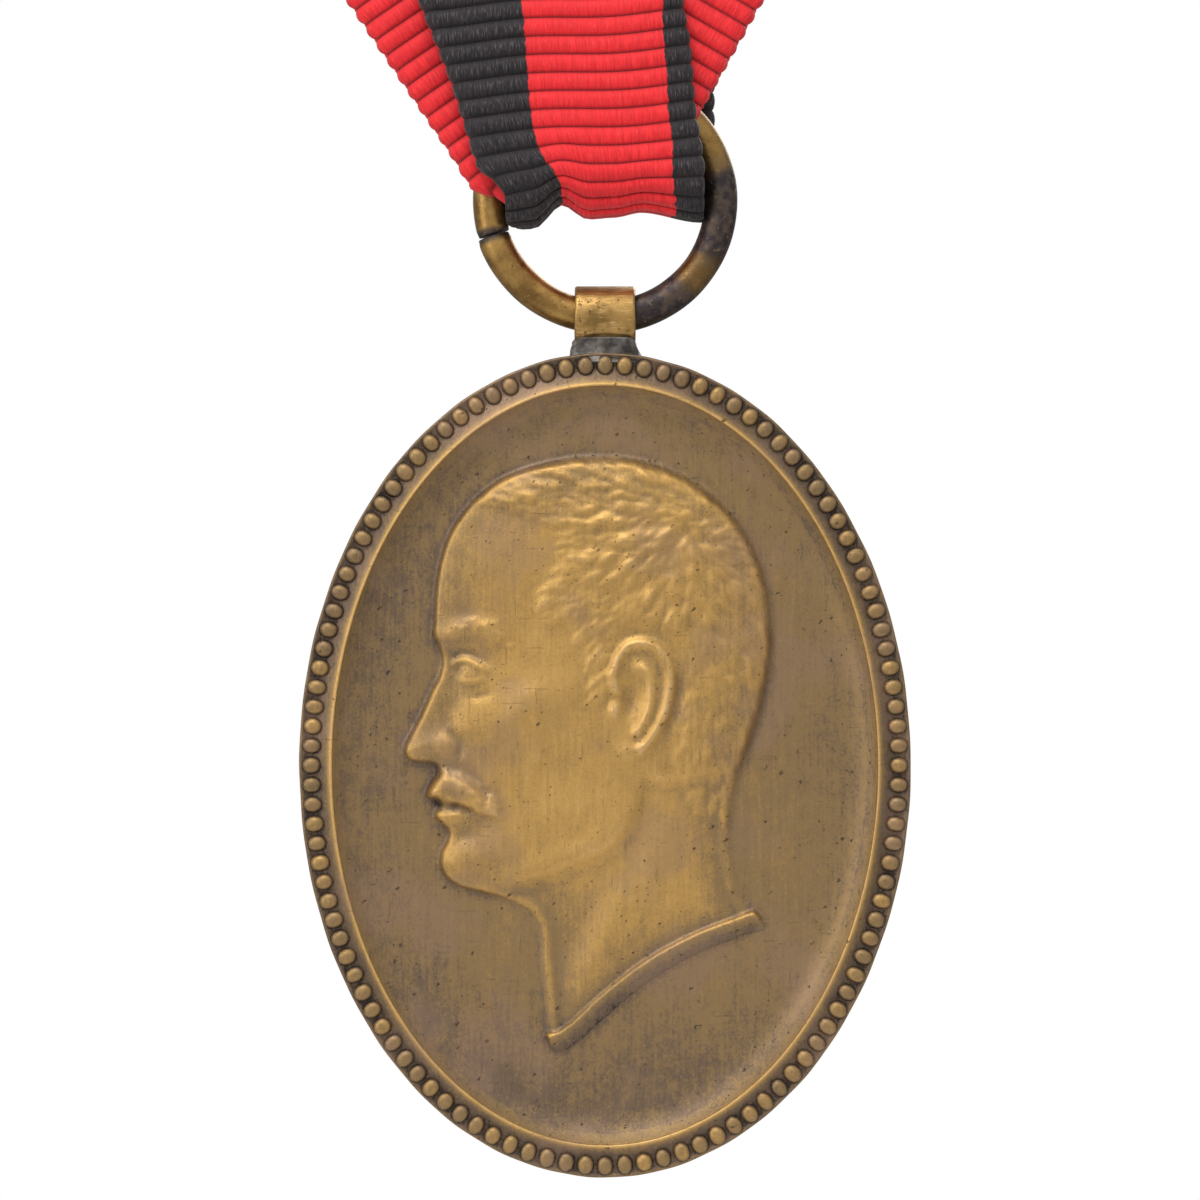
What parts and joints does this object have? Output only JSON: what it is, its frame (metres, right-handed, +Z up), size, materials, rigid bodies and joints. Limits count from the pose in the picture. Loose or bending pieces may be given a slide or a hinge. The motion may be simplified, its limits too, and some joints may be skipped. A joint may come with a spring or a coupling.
{
  "type": "medal on ribbon",
  "caption": "Oval bronze medal with a beaded rim and a bust in relief, hung by a ring from a pleated striped ribbon with a pin bar.",
  "frame": {"origin": "On the brooch pin's axis, straight above the middle of the medal.", "axes": "+Z up towards the ribbon's top edge, -Y out of the medal's struck front, +X to the viewer's right along the pin."},
  "size_m": [0.041, 0.0074, 0.0726],
  "materials": {
    "bronze": "struck and patinated, worn bright on the high edges",
    "bail_brass": "worn and scratched",
    "solder": "dull grey solder",
    "ring_brass": "drawn wire, partly oxidised dark",
    "grosgrain": "ribbed grosgrain, red and black stripes",
    "card": "stiff pressed card",
    "thread": "waxed sewing thread",
    "plate_brass": "plain stamped brass",
    "pin_steel": "drawn wire, ground to a point"
  },
  "bodies": {
    "root": {"ribbon": "grosgrain", "ribbon_stiffener": "card", "stitches": "thread", "brooch_plate": "plate_brass", "pin_joint": "plate_brass", "joint_rivet": "plate_brass", "catch_base": "plate_brass"},
    "ring": {"split_ring": "ring_brass"},
    "medal": {"medal_body": "bronze", "bail": "bail_brass", "solder_joint": "solder"},
    "pin": {"pin_stem": "pin_steel"},
    "roller": {"catch_roller": "plate_brass"}
  },
  "joints": [
    {"name": "ring_turn", "type": "hinge", "parent": "root", "child": "ring", "pos_m": [0, -0.0034, -0.0249], "axis": [0, 1, 0], "range_deg": [-40, 40]},
    {"name": "medal_swing", "type": "hinge", "parent": "ring", "child": "medal", "pos_m": [0, -0.0034, -0.02995], "axis": [1, 0, 0], "range_deg": [-95, 95]},
    {"name": "pin_hinge", "type": "hinge", "parent": "root", "child": "pin", "pos_m": [0.011, 0, 0], "axis": [0, 0, -1], "range_deg": [0, 100]},
    {"name": "catch_turn", "type": "hinge", "parent": "root", "child": "roller", "pos_m": [-0.017, 0, 0], "axis": [1, 0, 0], "range_deg": [0, 100]}
  ]
}
